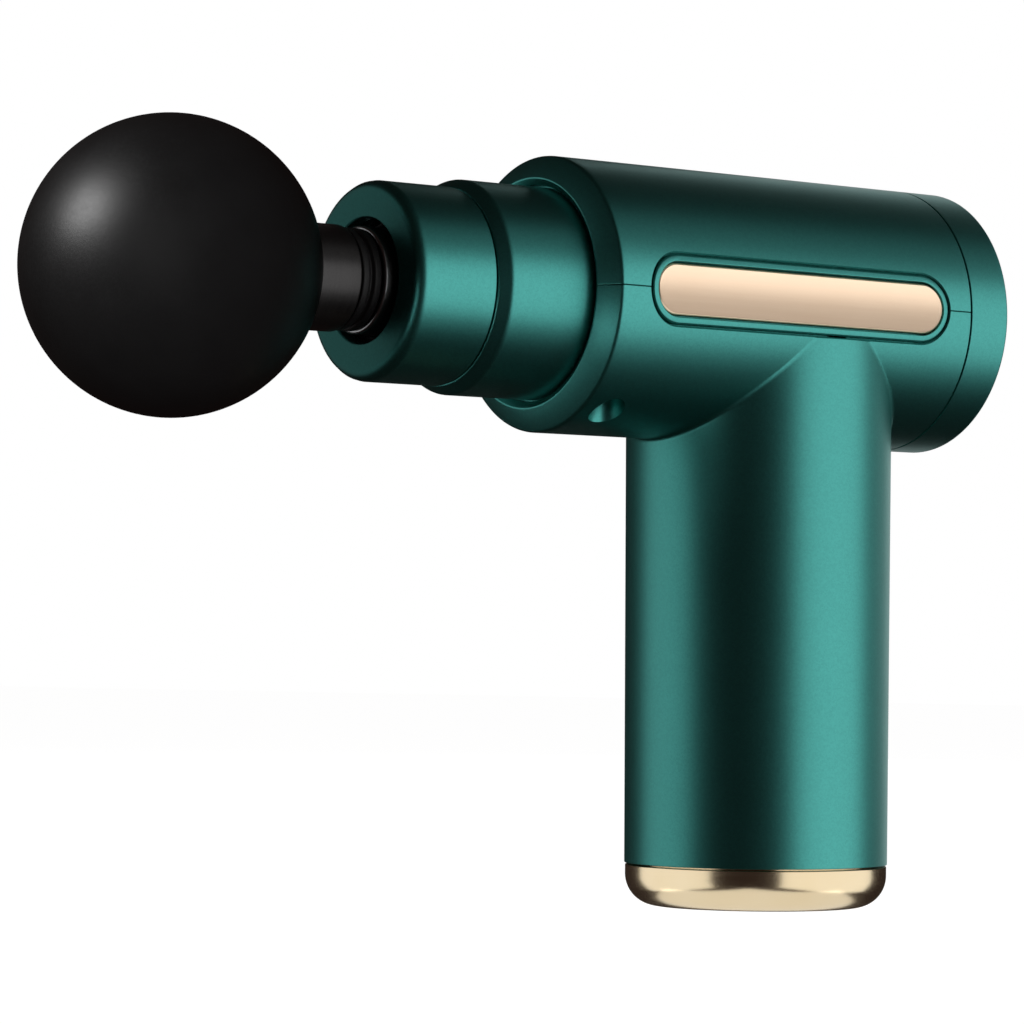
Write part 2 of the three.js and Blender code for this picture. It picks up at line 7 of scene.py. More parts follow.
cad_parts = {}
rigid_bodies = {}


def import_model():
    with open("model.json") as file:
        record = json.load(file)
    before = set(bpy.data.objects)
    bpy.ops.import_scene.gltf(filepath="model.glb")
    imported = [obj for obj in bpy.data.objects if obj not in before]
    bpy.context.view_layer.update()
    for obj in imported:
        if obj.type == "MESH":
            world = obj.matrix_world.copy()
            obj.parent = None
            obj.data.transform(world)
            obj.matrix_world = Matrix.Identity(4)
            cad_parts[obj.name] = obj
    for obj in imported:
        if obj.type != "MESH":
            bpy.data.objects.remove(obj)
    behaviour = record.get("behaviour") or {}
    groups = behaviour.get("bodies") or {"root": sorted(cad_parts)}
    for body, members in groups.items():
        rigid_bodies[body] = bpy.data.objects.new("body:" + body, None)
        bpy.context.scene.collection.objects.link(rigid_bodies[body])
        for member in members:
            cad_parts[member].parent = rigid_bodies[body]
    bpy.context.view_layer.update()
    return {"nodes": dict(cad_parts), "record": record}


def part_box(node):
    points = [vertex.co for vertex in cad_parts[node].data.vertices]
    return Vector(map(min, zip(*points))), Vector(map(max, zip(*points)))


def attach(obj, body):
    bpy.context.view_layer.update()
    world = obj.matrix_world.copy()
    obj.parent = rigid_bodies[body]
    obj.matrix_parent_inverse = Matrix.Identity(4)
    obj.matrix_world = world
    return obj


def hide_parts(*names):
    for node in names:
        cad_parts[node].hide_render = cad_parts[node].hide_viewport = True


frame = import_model()
record = frame["record"]
mm = 0.001


def middle(node):        # the middle of a CAD node's box
    low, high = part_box(node)
    return [(low[i] + high[i]) / 2 for i in range(3)]


def halfWidth(node):     # half a CAD node's size from side to side
    low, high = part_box(node)
    return (high[1] - low[1]) / 2


# sizes that the frame gives
axisHeight = middle("rear_cap")[2]
barrelRadius = halfWidth("rear_cap")
frontX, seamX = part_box("upper_shell")[0][0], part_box("upper_shell")[1][0]
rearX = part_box("rear_cap")[1][0]
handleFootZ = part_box("lower_shell")[0][2]
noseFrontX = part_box("nose_cap")[0][0]
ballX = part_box("massage_ball")[0][0] + halfWidth("massage_ball")
gap = 0.3 * mm           # clearance between neighbouring pieces
fullTurn = 2 * math.pi

bodyOf = {node: body for body, nodes in record["behaviour"]["bodies"].items() for node in nodes}
slotOf = {row["node"]: row["material_slot"] for row in record["subparts"]}
print("frame read: barrel axis at", round(axisHeight, 4))


class Flow:              # one shader socket, so that shader maths reads as Python
    def __init__(self, tree, socket):
        self.tree, self.socket = tree, socket

    def maths(self, operation, first, second):
        node = self.tree.nodes.new("ShaderNodeMath")
        node.operation = operation
        for place, value in enumerate((first, second)):
            feed(self.tree, node.inputs[place], value)
        return Flow(self.tree, node.outputs[0])

    def __add__(self, other): return self.maths("ADD", self, other)
    def __radd__(self, other): return self.maths("ADD", other, self)
    def __sub__(self, other): return self.maths("SUBTRACT", self, other)
    def __rsub__(self, other): return self.maths("SUBTRACT", other, self)
    def __mul__(self, other): return self.maths("MULTIPLY", self, other)
    def __rmul__(self, other): return self.maths("MULTIPLY", other, self)


def feed(tree, target, value):
    if isinstance(value, Flow):
        tree.links.new(value.socket, target)
    else:
        target.default_value = value


class Finish:            # one material, or the world, and the nodes that feed it
    def __init__(self, name, owner=None):
        self.material = owner or bpy.data.materials.new(name)
        self.material.use_nodes = True
        self.tree = self.material.node_tree
        self.shader = next(n for n in self.tree.nodes if n.type in ("BSDF_PRINCIPLED", "BACKGROUND"))

    def node(self, kind, settings=None, sockets=None, output=0):
        made = self.tree.nodes.new(kind)
        for key, value in (settings or {}).items():
            setattr(made, key, value)
        for key, value in (sockets or {}).items():
            feed(self.tree, made.inputs[key], value)
        return Flow(self.tree, made.outputs[output])

    def mix(self, factor, first, second):
        settings = {"data_type": "RGBA", "blend_type": "MIX"}
        return self.node("ShaderNodeMix", settings, {0: factor, 6: first, 7: second}, output=2)

    def place(self):
        return self.node("ShaderNodeTexCoord", output="Object")

    def stretched(self, scale):
        settings = {"operation": "MULTIPLY"}
        return self.node("ShaderNodeVectorMath", settings, {0: self.place(), 1: scale})

    def noise(self, vector, scale, detail=2.0, roughness=0.5):
        sockets = {"Vector": vector, "Scale": scale, "Detail": detail, "Roughness": roughness}
        return self.node("ShaderNodeTexNoise", None, sockets)

    def cells(self, vector, scale, output="Color"):
        return self.node("ShaderNodeTexVoronoi", None, {"Vector": vector, "Scale": scale}, output)

    def bump(self, height, strength, distance):
        sockets = {"Height": height, "Strength": strength, "Distance": distance}
        return self.node("ShaderNodeBump", None, sockets)

    def set(self, **sockets):
        for key, value in sockets.items():
            feed(self.tree, self.shader.inputs[key.replace("_", " ")], value)


def tint(colour, factor=1.0):
    return (*[min(1.0, c * factor) for c in colour], 1.0)


lacquer = {"colour": (0.074, 0.352, 0.322), "dark": 0.72, "bright": 1.28, "flakeScale": 4200,
           "flakeSpread": 0.22, "fineScale": 3300, "fineSpread": 0.16, "fineRough": 0.05, "cloudScale": 60,
           "cloudRough": 0.03, "roughness": 0.375, "peelScale": 1500, "peel": 0.035, "peelDepth": 0.2 * mm}


def greenLacquer():      # satin metallic lacquer: fine flakes, a little orange peel
    f = Finish("greenLacquer")
    flakes = f.cells(f.place(), lacquer["flakeScale"])
    shine = f.node("ShaderNodeSeparateColor", None, {0: flakes}) - 0.5
    fine = f.noise(f.place(), lacquer["fineScale"], detail=3.0) - 0.5
    cloud = f.noise(f.place(), lacquer["cloudScale"])
    glint = shine * lacquer["flakeSpread"] + fine * lacquer["fineSpread"] + 0.5
    colour = f.mix(glint, tint(lacquer["colour"], lacquer["dark"]), tint(lacquer["colour"], lacquer["bright"]))
    f.set(Base_Color=colour, Metallic=1.0,
          Roughness=cloud * lacquer["cloudRough"] + fine * lacquer["fineRough"] + lacquer["roughness"],
          Normal=f.bump(f.noise(f.place(), lacquer["peelScale"]), lacquer["peel"], lacquer["peelDepth"]))
    return f.material


gold = {"colour": (1.0, 0.85, 0.59), "deep": (0.92, 0.74, 0.46), "roughness": 0.15, "hazeScale": 90,
        "hazeRough": 0.04, "lineScale": 2600, "lineStretch": (0.04, 0.04, 1.0), "lineRough": 0.06,
        "lineBump": 0.02, "lineDepth": 0.05 * mm}


def polishedGold():      # plated and polished, with faint turned lines round the cap
    f = Finish("polishedGold")
    lines = f.noise(f.stretched(gold["lineStretch"]), gold["lineScale"], detail=3.0)
    haze = f.noise(f.place(), gold["hazeScale"], detail=4.0)
    f.set(Base_Color=f.mix(haze, tint(gold["deep"]), tint(gold["colour"])), Metallic=1.0,
          Roughness=lines * gold["lineRough"] + haze * gold["hazeRough"] + gold["roughness"],
          Normal=f.bump(lines, gold["lineBump"], gold["lineDepth"]))
    return f.material


blush = {"colour": (0.99, 0.78, 0.58), "deep": (0.92, 0.68, 0.48), "roughness": 0.29, "cloudScale": 70,
         "lineScale": 2400, "lineStretch": (0.02, 1.0, 1.0), "lineShare": 0.6, "lineRough": 0.1,
         "lineBump": 0.03, "lineDepth": 0.05 * mm}


def brushedBlush():      # champagne plate with hairlines along its length
    f = Finish("brushedBlush")
    lines = f.noise(f.stretched(blush["lineStretch"]), blush["lineScale"], detail=4.0, roughness=0.6)
    cloud = f.noise(f.place(), blush["cloudScale"])
    share = lines * blush["lineShare"] + cloud * (1 - blush["lineShare"])
    f.set(Base_Color=f.mix(share, tint(blush["deep"]), tint(blush["colour"])), Metallic=1.0,
          Roughness=lines * blush["lineRough"] + blush["roughness"],
          Normal=f.bump(lines, blush["lineBump"], blush["lineDepth"]))
    return f.material


foam = {"colour": (0.0085, 0.0085, 0.0088), "pale": (0.014, 0.014, 0.0145), "roughness": 0.37,
        "cloudScale": 110, "cloudRough": 0.08, "poreScale": 1700, "poreRough": 0.05, "poreBump": 0.05,
        "poreDepth": 0.1 * mm}


def softBlack():         # dense foam skin of the ball: matte, with a fine closed-cell grain
    f = Finish("softBlack")
    pores = f.cells(f.place(), foam["poreScale"], output="Distance")
    cloud = f.noise(f.place(), foam["cloudScale"], detail=3.0)
    f.set(Base_Color=f.mix(cloud, tint(foam["colour"]), tint(foam["pale"])), Specular_IOR_Level=0.5,
          Roughness=cloud * foam["cloudRough"] + pores * foam["poreRough"] + foam["roughness"],
          Normal=f.bump(pores, foam["poreBump"], foam["poreDepth"]))
    return f.material


neck = {"colour": (0.035, 0.034, 0.035), "pale": (0.075, 0.073, 0.072), "metallic": 0.85, "roughness": 0.29,
        "ringScale": 2600, "ringStretch": (1.0, 0.05, 0.05), "ringRough": 0.14, "ringBump": 0.05,
        "ringDepth": 0.05 * mm, "grainScale": 2800}


def drawnBlack():        # satin neck, drawn round its axis
    f = Finish("drawnBlack")
    rings = f.noise(f.stretched(neck["ringStretch"]), neck["ringScale"], detail=4.0)
    grain = f.noise(f.place(), neck["grainScale"], detail=3.0)
    f.set(Base_Color=f.mix(rings * 0.5 + grain * 0.5, tint(neck["colour"]), tint(neck["pale"])),
          Metallic=neck["metallic"], Roughness=rings * neck["ringRough"] + neck["roughness"],
          Normal=f.bump(rings, neck["ringBump"], neck["ringDepth"]))
    return f.material


# every other slot: colour, metallic, roughness, grain scale, grain depth, coat
others = {
    "gloss_black": ((0.004, 0.004, 0.005), 0.0, 0.07, 900, 0.01, 1.0),
    "rubber_black": ((0.010, 0.010, 0.011), 0.0, 0.55, 2200, 0.10, 0.0),
    "steel": ((0.58, 0.58, 0.60), 1.0, 0.24, 2600, 0.03, 0.0),
    "alloy": ((0.36, 0.37, 0.38), 1.0, 0.30, 2400, 0.03, 0.0),
    "cell_wrap": ((0.03, 0.17, 0.42), 0.0, 0.30, 600, 0.02, 0.3),
    "white_plastic": ((0.72, 0.71, 0.66), 0.0, 0.48, 1500, 0.04, 0.0),
    "dark_plastic": ((0.025, 0.027, 0.030), 0.0, 0.5, 1800, 0.06, 0.0),
    "magnet": ((0.13, 0.13, 0.14), 0.9, 0.38, 1900, 0.03, 0.0),
    "board": ((0.010, 0.085, 0.035), 0.0, 0.42, 1300, 0.04, 0.4),
    "copper": ((0.52, 0.20, 0.08), 1.0, 0.35, 3000, 0.10, 0.0),
    "clear_lens": ((0.62, 0.72, 0.70), 0.0, 0.22, 1700, 0.02, 0.6),
    "lead_black": ((0.010, 0.010, 0.010), 0.0, 0.5, 2000, 0.03, 0.0),
    "lead_red": ((0.36, 0.015, 0.012), 0.0, 0.48, 2000, 0.03, 0.0),
}
moulded = {"dark": 0.78, "bright": 1.22, "driftScale": 140, "driftShare": 0.7, "driftRough": 0.05,
           "grainRough": 0.08, "depth": 0.1 * mm}


def grained(name):       # moulded or machined finish with its own grain and a slight colour drift
    colour, metallic, roughness, scale, strength, coat = others[name]
    f = Finish(name)
    grain = f.noise(f.place(), scale, detail=3.0)
    drift = f.noise(f.place(), moulded["driftScale"])
    share = drift * moulded["driftShare"] + grain * (1 - moulded["driftShare"])
    least = roughness - (moulded["grainRough"] + moulded["driftRough"]) / 2
    f.set(Base_Color=f.mix(share, tint(colour, moulded["dark"]), tint(colour, moulded["bright"])),
          Metallic=metallic, Coat_Weight=coat,
          Roughness=grain * moulded["grainRough"] + drift * moulded["driftRough"] + least,
          Normal=f.bump(grain, strength, moulded["depth"]))
    return f.material


finishes = {name: grained(name) for name in others}
finishes["green_shell"] = greenLacquer()
finishes["gold_metal"] = polishedGold()
finishes["blush_metal"] = brushedBlush()
finishes["ball_black"] = softBlack()
finishes["satin_black"] = drawnBlack()
print("finishes made:", len(finishes))


crisp = {"turned": 32, "carved": 30, "shell": 28}        # degrees: edges sharper than this stay crisp


def rounded(points, steps=4):
    # each point is (a, b) or (a, b, cut): a corner with a cut is eased over that length on both sides
    out = []
    count = len(points)
    for i, point in enumerate(points):
        here = Vector(point[:2])
        if len(point) < 3 or point[2] == 0:
            out.append(here)
            continue
        before, after = Vector(points[i - 1][:2]), Vector(points[(i + 1) % count][:2])
        start = here + (before - here).normalized() * point[2]
        end = here + (after - here).normalized() * point[2]
        bend = math.sin((before - here).angle(after - here) / 2)       # this weight makes a true arc
        for k in range(steps + 1):
            t = k / steps
            weights = (1 - t) ** 2, 2 * t * (1 - t) * bend, t ** 2
            out.append((start * weights[0] + here * weights[1] + end * weights[2]) / sum(weights))
    return out


def pieceFrom(name, bm):
    mesh = bpy.data.meshes.new(name)
    bm.to_mesh(mesh)
    bm.free()
    piece = bpy.data.objects.new(name, mesh)
    bpy.context.collection.objects.link(piece)
    return piece


def closedPiece(name, bm):
    bmesh.ops.remove_doubles(bm, verts=bm.verts, dist=0.002 * mm)
    bmesh.ops.dissolve_degenerate(bm, edges=bm.edges, dist=0.001 * mm)
    bmesh.ops.recalc_face_normals(bm, faces=bm.faces)
    piece = pieceFrom(name, bm)
    smooth(piece, crisp["turned"])
    return piece


def smooth(piece, sharpAngle):
    piece.data.shade_smooth()
    piece.data.set_sharp_from_angle(angle=math.radians(sharpAngle))


def weighted(piece):     # flat faces stay flat beside their eased edges
    modifier = piece.modifiers.new("weighted", "WEIGHTED_NORMAL")
    modifier.keep_sharp = True
    return piece


def bridge(bm, first, second, closed=True):
    count = len(first)
    for i in range(count if closed else count - 1):
        corners = [first[i], first[(i + 1) % count], second[(i + 1) % count], second[i]]
        kept = []
        for corner in corners:
            if corner not in kept:
                kept.append(corner)
        if len(kept) > 2:
            bm.faces.new(kept)


def stitch(bm, loops, ring=False):       # skins a run of loops, and a ring back to its first loop
    for first, second in zip(loops, loops[1:] + (loops[:1] if ring else [])):
        bridge(bm, first, second)


def lathe(name, profile, axis="x", centre=(0, 0, 0), sides=128, ring=False, steps=4):
    # profile runs along the axis: (along, radius, cut); ring closes it on itself
    bm = bmesh.new()
    loops = []
    for along, radius in rounded(profile, steps):
        onTheAxis = radius < 0.0001 * mm
        loop = []
        for i in range(1 if onTheAxis else sides):
            a = fullTurn * i / sides
            u, v = radius * math.cos(a), radius * math.sin(a)
            place = (along, u, v) if axis == "x" else (u, v, along)
            loop.append(bm.verts.new(Vector(place) + Vector(centre)))
        loops.append(loop * sides if onTheAxis else loop)
    stitch(bm, loops, ring)
    return weighted(closedPiece(name, bm))


def rod(start, end, radius, axis="x", centre=(0, 0, 0), sides=32):       # a plain round tool
    return lathe("rod", [(start, 0), (start, radius), (end, radius), (end, 0)], axis, centre, sides)


def capped(name, bm, loops):     # a prism between two loops
    stitch(bm, loops)
    for loop in loops:
        bm.faces.new(loop)
    bmesh.ops.recalc_face_normals(bm, faces=bm.faces)
    return pieceFrom(name, bm)


def boxTool(low, high):
    bm = bmesh.new()
    bmesh.ops.create_cube(bm, size=1)
    size, centre = Vector(high) - Vector(low), (Vector(high) + Vector(low)) / 2
    for vert in bm.verts:
        vert.co = Vector([vert.co[i] * size[i] for i in range(3)]) + centre
    return pieceFrom("boxTool", bm)


def carve(target, tool, operation="DIFFERENCE"):         # an exact boolean, which uses the tool up
    target.modifiers.clear()
    tool.modifiers.clear()
    modifier = target.modifiers.new("carve", "BOOLEAN")
    modifier.object, modifier.operation, modifier.solver = tool, operation, "EXACT"
    graph = bpy.context.evaluated_depsgraph_get()
    made = bpy.data.meshes.new_from_object(target.evaluated_get(graph))
    target.modifiers.clear()
    old, target.data = target.data, made
    bpy.data.meshes.remove(old)
    bpy.data.objects.remove(tool)
    return target


def dress(piece, node):          # ties a new piece to the CAD node it stands for
    piece.data.materials.clear()
    piece.data.materials.append(finishes[slotOf[node]])
    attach(piece, bodyOf[node])
    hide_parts(node)
    return piece


def onAxis(name, profile, node, ring=True, sides=160):   # a turned piece on the barrel's axis
    return dress(lathe(name, profile, centre=(0, 0, axisHeight), ring=ring, sides=sides), node)


trim = {"length": 64.2 * mm, "height": 11.4 * mm, "depth": 1.6 * mm, "outerEdge": 0.32 * mm,
        "innerEdge": 0.16 * mm, "endSteps": 28, "runSteps": 14}
plate = {"length": 61.7 * mm, "height": 8.2 * mm, "grow": 0.18 * mm, "sunk": 0.12 * mm, "bevel": 0.36 * mm,
         "bevelDrop": 0.3 * mm, "sideEdge": 0.1 * mm, "faceEdge": 0.14 * mm}
pocket = {"flare": 0.3 * mm, "flareFoot": 0.22 * mm, "flareTop": 0.08 * mm, "above": 3 * mm}
trimCentreX = middle("side_trim_left")[0]


def oblongLoop(length, height, offset):      # (along, up) points at an even offset from the outline
    run, reach = (length - height) / 2, height / 2 + offset
    points = []
    for side in (1, -1):
        for i in range(trim["endSteps"]):
            a = math.pi * (i / trim["endSteps"] - 0.5)
            points.append((side * (run + reach * math.cos(a)), side * reach * math.sin(a)))
        for i in range(trim["runSteps"]):
            points.append((side * run * (1 - 2 * i / trim["runSteps"]), side * reach))
    return points


def onBarrel(along, up, radius, side):
    return Vector((trimCentreX + along, side * math.sqrt(radius ** 2 - up ** 2), axisHeight + up))


def oblongPiece(name, sizes, profile, side, ring=False):
    # profile points are (offset, radius, cut) about the barrel axis
    # a solid starts and ends at its middle line
    bm = bmesh.new()
    loops = []
    for offset, radius in rounded(profile):
        outline = oblongLoop(sizes["length"], sizes["height"], offset)
        loops.append([bm.verts.new(onBarrel(along, up, radius, side)) for along, up in outline])
    stitch(bm, loops, ring)
    return closedPiece(name, bm)


def faceSteps(halfHeight, radius, steps=5):      # rings from the middle line out to the rim of a face
    return [(-halfHeight * (1 - i / steps), radius) for i in range(steps)]


def pocketTool(side):
    rim, top = barrelRadius - trim["depth"], barrelRadius + pocket["above"]
    half, flare = trim["height"] / 2, gap + pocket["flare"]
    profile = faceSteps(half, rim)
    profile += [(gap, rim), (gap, barrelRadius - pocket["flareFoot"]),
                (flare, barrelRadius + pocket["flareTop"]), (flare, top)]
    profile += [(offset, top) for offset, _ in reversed(faceSteps(half, rim))]
    return oblongPiece("pocketTool", trim, profile, side)


def sideTrim(sideName, side):
    foot = barrelRadius - trim["depth"] + gap
    endGap = (trim["length"] - plate["length"]) / 2 - (trim["height"] - plate["height"]) / 2
    inner = (plate["height"] - trim["height"]) / 2 + gap - endGap / 2
    profile = [(0, foot), (0, barrelRadius, trim["outerEdge"]), (inner, barrelRadius, trim["innerEdge"]),
               (inner, foot)]
    made = oblongPiece("sideTrim_" + sideName, trim, profile, side, ring=True)
    dress(weighted(made), "side_trim_" + sideName)


def accentPlate(sideName, side):
    foot, face = barrelRadius - trim["depth"] + gap, barrelRadius - plate["sunk"]
    half, grow = plate["height"] / 2, plate["grow"]
    profile = faceSteps(half, foot)
    profile += [(grow, foot), (grow, face - plate["bevelDrop"], plate["sideEdge"]),
                (grow - plate["bevel"], face, plate["faceEdge"])]
    profile += [(offset, face) for offset, _ in reversed(faceSteps(half, face))]
    dress(oblongPiece("accentPlate_" + sideName, plate, profile, side), "accent_plate_" + sideName)


for sideName, side in (("left", -1), ("right", 1)):
    sideTrim(sideName, side)
    accentPlate(sideName, side)
print("side plates made")

shell = {"wall": 2.2 * mm, "parting": 0.08 * mm, "edge": 0.08 * mm, "easing": 0.8, "rows": 96,
         "frontRows": 16, "rearRows": 12, "handleRows": 24, "handleTop": 22.9 * mm, "handleFoot": 22.55 * mm,
         "taperFrom": 8 * mm, "leastReach": 0.01 * mm, "crease": 0.75 * mm, "creaseReach": 6 * mm,
         "creaseFall": 1.2, "creaseSteps": 5}
mouth = {"radius": 17.94 * mm, "depth": 1.7 * mm, "lip": 0.8 * mm, "lipEdge": 0.1 * mm, "rim": 19.1 * mm,
         "rimEdge": 0.22 * mm, "chamfer": 2.5 * mm, "chamferEdge": 0.45 * mm, "run": 1.5 * mm,
         "innerStep": 0.4 * mm, "hollowStep": 0.6 * mm, "hollowFrom": 3.6 * mm}


def resample(points, count):     # the same polyline at an even number of places
    lengths = [0]
    for p, q in zip(points, points[1:]):
        lengths.append(lengths[-1] + (Vector(q) - Vector(p)).length)
    out = []
    for i in range(count):
        want = lengths[-1] * i / (count - 1)
        k = max(j for j in range(len(points) - 1) if lengths[j] <= want + 1e-12)
        t = (want - lengths[k]) / (lengths[k + 1] - lengths[k])
        out.append(Vector(points[k]).lerp(Vector(points[k + 1]), t))
    return out


def frontProfiles():     # (x, radius) from the mouth to the start of the straight barrel, outside and inside
    back, straight = frontX + mouth["depth"], frontX + mouth["chamfer"] + mouth["run"]
    outside = rounded([(back, mouth["radius"]), (frontX + mouth["lip"], mouth["radius"], mouth["lipEdge"]),
                       (frontX, mouth["rim"], mouth["rimEdge"]),
                       (frontX + mouth["chamfer"], barrelRadius, mouth["chamferEdge"]),
                       (straight, barrelRadius)])
    hollow = barrelRadius - shell["wall"]
    inside = [(back, mouth["radius"] + mouth["innerStep"]), (back, hollow - mouth["hollowStep"]),
              (frontX + mouth["hollowFrom"], hollow), (straight, hollow)]
    return outside, resample(inside, len(outside))


def rowAngles():         # from one parting edge under (or over) the barrel to the other
    start = math.asin(shell["parting"] / 2 / barrelRadius)
    eased = start + shell["edge"] / barrelRadius
    meet = math.acos(shell["handleTop"] / barrelRadius)
    inner = [meet + (math.pi - 2 * meet) * i / shell["rows"] for i in range(shell["rows"] + 1)]
    head = [start, eased, eased + shell["edge"] / barrelRadius, (eased + meet) / 2]
    return head + inner + [math.pi - a for a in reversed(head)]


sideRows = 4             # the rows of rowAngles beside the handle, on each side


def onSkin(bm, x, radius, angle, up):
    return bm.verts.new((x, -radius * math.cos(angle), axisHeight + up * radius * math.sin(angle)))


def skinGrid(up, front, scale):  # one face of a shell: the outside at scale 1, the inside at a smaller scale
    bm = bmesh.new()
    radius, handleTop = barrelRadius * scale, shell["handleTop"] * scale
    edge = shell["edge"] if scale == 1 else 0
    straight = front[-1][0]
    rows, angles = [], rowAngles()
    for j, angle in enumerate(angles):
        y = radius * math.cos(angle)
        drop = edge * shell["easing"] if j in (0, len(angles) - 1) else 0        # eased parting edge
        reach = math.sqrt(max(0, handleTop ** 2 - y ** 2)) if up < 0 else 0      # half the handle's opening
        reach = reach if reach > shell["leastReach"] else 0
        ease = shell["crease"] * min(1, reach / shell["creaseReach"])
        frontRun, rearRun = -reach - ease - straight, seamX - shell["edge"] - reach - ease
        left = [onSkin(bm, x, r - drop, angle, up) for x, r in front]
        left += [onSkin(bm, straight + frontRun * k / shell["frontRows"], radius - drop, angle, up)
                 for k in range(1, shell["frontRows"] + 1)]
        right = [left[-1] if reach == 0 else onSkin(bm, reach + ease, radius, angle, up)]
        right += [onSkin(bm, reach + ease + rearRun * k / shell["rearRows"], radius - drop, angle, up)
                  for k in range(1, shell["rearRows"] + 1)]
        right.append(onSkin(bm, seamX, radius - drop - edge * shell["easing"], angle, up))
        rows.append((angle, y, reach, ease, left, right))
    for first, second in zip(rows, rows[1:]):
        bridge(bm, first[4], second[4], closed=False)
        bridge(bm, first[5], second[5], closed=False)
    if up < 0:
        handleGrid(bm, rows[sideRows:-sideRows], radius, edge)
    return bm


def handleGrid(bm, rows, radius, edge):
    # the crease: a small easing between barrel and handle, then the handle's own columns down to its foot
    taperTop = axisHeight - shell["taperFrom"]
    columns = {1: [], -1: []}
    for angle, y, reach, ease, left, right in rows:
        for side, start in ((-1, left[-1]), (1, right[0])):
            corner = Vector((side * reach, -y, axisHeight - radius * math.sin(angle)))
            low = corner - Vector((0, 0, ease * shell["creaseFall"]))
            column = [start]
            for k in range(1, shell["creaseSteps"] + 1):
                t = k / shell["creaseSteps"]
                bend = start.co * (1 - t) ** 2 + corner * 2 * t * (1 - t) + low * t ** 2
                column.append(start if reach == 0 else bm.verts.new(bend))
            fall = handleFootZ + edge - low.z
            drops = [(low.z + fall * k / shell["handleRows"], 0) for k in range(1, shell["handleRows"] + 1)]
            for z, shrink in drops + [(handleFootZ, edge * shell["easing"])]:
                share = max(0, (taperTop - z) / (taperTop - handleFootZ))
                size = 1 + share * (shell["handleFoot"] / shell["handleTop"] - 1) - shrink / shell["handleTop"]
                if reach == 0 and side > 0:
                    column.append(columns[-1][-1][len(column)])
                else:
                    column.append(bm.verts.new((side * reach * size, -y * size, z)))
            columns[side].append(column)
    for side in (1, -1):
        for first, second in zip(columns[side], columns[side][1:]):
            bridge(bm, first, second, closed=False)


def shellSkin(name, up):
    fronts = frontProfiles()
    outer = skinGrid(up, fronts[0], 1)
    inner = skinGrid(up, fronts[1], 1 - shell["wall"] / barrelRadius)
    outer.verts.index_update()
    count = len(outer.verts)
    points = [v.co.copy() for v in outer.verts] + [v.co.copy() for v in inner.verts]
    faces = [[v.index for v in f.verts] for f in outer.faces]
    faces += [[i + count for i in reversed(face)] for face in faces]
    rim = [edge.verts for edge in outer.edges if len(edge.link_faces) == 1]
    faces += [[a.index, b.index, b.index + count, a.index + count] for a, b in rim]
    outer.free()
    inner.free()
    bm = bmesh.new()
    verts = [bm.verts.new(p) for p in points]
    for face in faces:
        bm.faces.new([verts[i] for i in face])
    bmesh.ops.recalc_face_normals(bm, faces=bm.faces)
    loose = sum(1 for e in bm.edges if len(e.link_faces) != 2)
    print(name, "grid:", len(bm.verts), "points,", loose, "open edges")
    return pieceFrom(name, bm)


screwPost = {"radius": 4.3 * mm, "bury": 1 * mm, "hole": 3 * mm, "headHeight": 1.8 * mm, "sides": 48}
inlet = {"rim": (12.4 * mm, 6.4 * mm), "rimX": 21.7 * mm, "hole": (9.8 * mm, 4 * mm), "holeX": 15 * mm,
         "outX": 30 * mm}
trueRound = {"within": 0.02 * mm, "facing": 0.97, "front": 0.6 * mm, "rear": 0.3 * mm}
shellScrews = ["shell_screw_%d" % i for i in (1, 2)]


def post(x, y):          # a screw post that ends inside the barrel's wall
    bm = bmesh.new()
    loops = [[], []]
    for i in range(screwPost["sides"]):
        a = fullTurn * i / screwPost["sides"]
        px, py = x + screwPost["radius"] * math.cos(a), y + screwPost["radius"] * math.sin(a)
        depth = math.sqrt((barrelRadius - screwPost["bury"]) ** 2 - py ** 2)
        loops[0].append(bm.verts.new((px, py, axisHeight - gap)))
        loops[1].append(bm.verts.new((px, py, axisHeight - depth)))
    return capped("post", bm, loops)


def oblongPlug(length, height, fromX, toX, z):   # an oblong prism along X, for the charging inlet
    bm = bmesh.new()
    outline = oblongLoop(length, height, 0)
    loops = [[bm.verts.new((x, along, z + up)) for along, up in outline] for x in (fromX, toX)]
    return capped("oblongPlug", bm, loops)


def trueNormals(piece):  # the barrel's round surface shades as a true round beside every cut
    smooth(piece, crisp["shell"])
    mesh = piece.data
    first, last = frontX + mouth["chamfer"] + trueRound["front"], seamX - trueRound["rear"]
    normals = []
    for polygon in mesh.polygons:
        for index in polygon.loop_indices:
            co = mesh.vertices[mesh.loops[index].vertex_index].co
            normal = mesh.corner_normals[index].vector.copy()
            radial = Vector((0, co.y, co.z - axisHeight))
            onRound = abs(radial.length - barrelRadius) < trueRound["within"] and first < co.x < last
            if onRound and polygon.normal.dot(radial.normalized()) > trueRound["facing"]:
                normal = radial.normalized()
            normals.append(normal)
    mesh.normals_split_custom_set(normals)


def shells():
    upper = shellSkin("upperShell", 1)
    lower = shellSkin("lowerShell", -1)
    for name in shellScrews:
        x, y, _ = middle(name)
        carve(lower, post(x, y), "UNION")
        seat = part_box(name)[0][2] + screwPost["headHeight"]
        carve(lower, rod(-1 * mm, seat, screwPost["hole"], "z", (x, y, 0), screwPost["sides"]))
    z = middle("usb_port")[2]
    carve(lower, oblongPlug(*inlet["rim"], inlet["rimX"], inlet["outX"], z))
    carve(lower, oblongPlug(*inlet["hole"], inlet["holeX"], inlet["outX"], z))
    for piece in (upper, lower):
        for side in (-1, 1):
            carve(piece, pocketTool(side))
        trueNormals(piece)
    dress(upper, "upper_shell")
    dress(lower, "lower_shell")


shells()
print("shells made")

